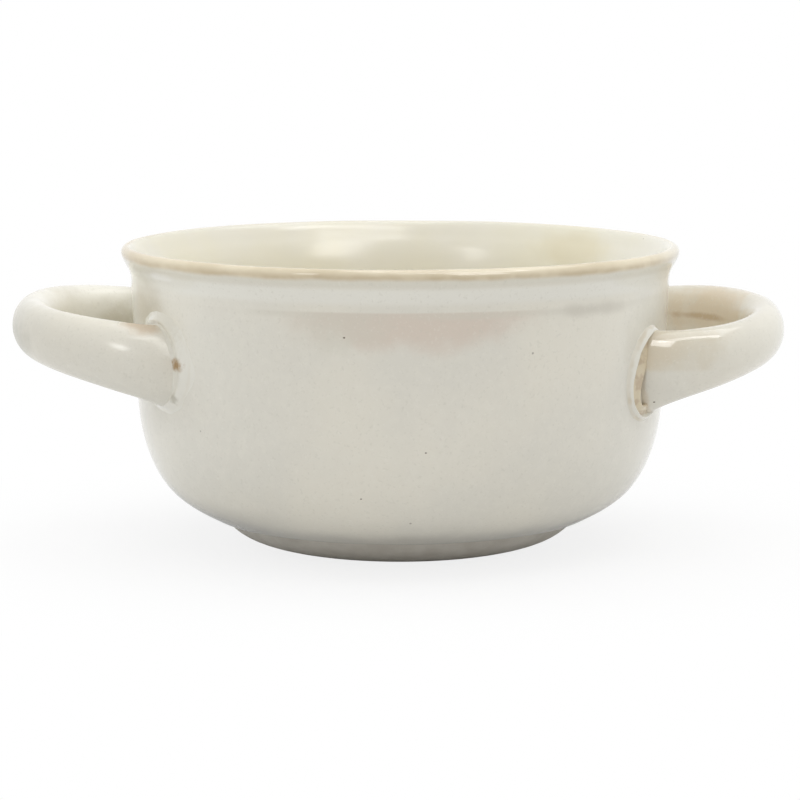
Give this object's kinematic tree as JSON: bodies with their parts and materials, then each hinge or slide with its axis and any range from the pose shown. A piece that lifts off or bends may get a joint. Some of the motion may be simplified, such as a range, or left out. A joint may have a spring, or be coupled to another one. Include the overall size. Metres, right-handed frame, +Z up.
{
  "type": "lug soup bowl",
  "caption": "Deep round stoneware soup bowl with a flared neck, a rounded lip, loop lug handles luted on each side and a low foot ring.",
  "frame": {"origin": "centre of the foot ring, on the surface that the bowl stands on", "axes": "+Z up through the mouth, +X through the right handle, -Y towards the front"},
  "size_m": [0.1914, 0.1378, 0.0742],
  "materials": {
    "white_glaze": "glossy warm white glaze, breaking tan at the lip",
    "bead_glaze": "glossy warm white glaze pooled and breaking tan over the slip bead",
    "foot_clay": "bare fired stoneware, matt and slightly gritty"
  },
  "bodies": {
    "root": {"bowl_body": "white_glaze", "foot_ring": "foot_clay", "left_handle": "white_glaze", "right_handle": "white_glaze", "left_front_slip_joint": "bead_glaze", "left_rear_slip_joint": "bead_glaze", "right_front_slip_joint": "bead_glaze", "right_rear_slip_joint": "bead_glaze"}
  },
  "joints": []
}
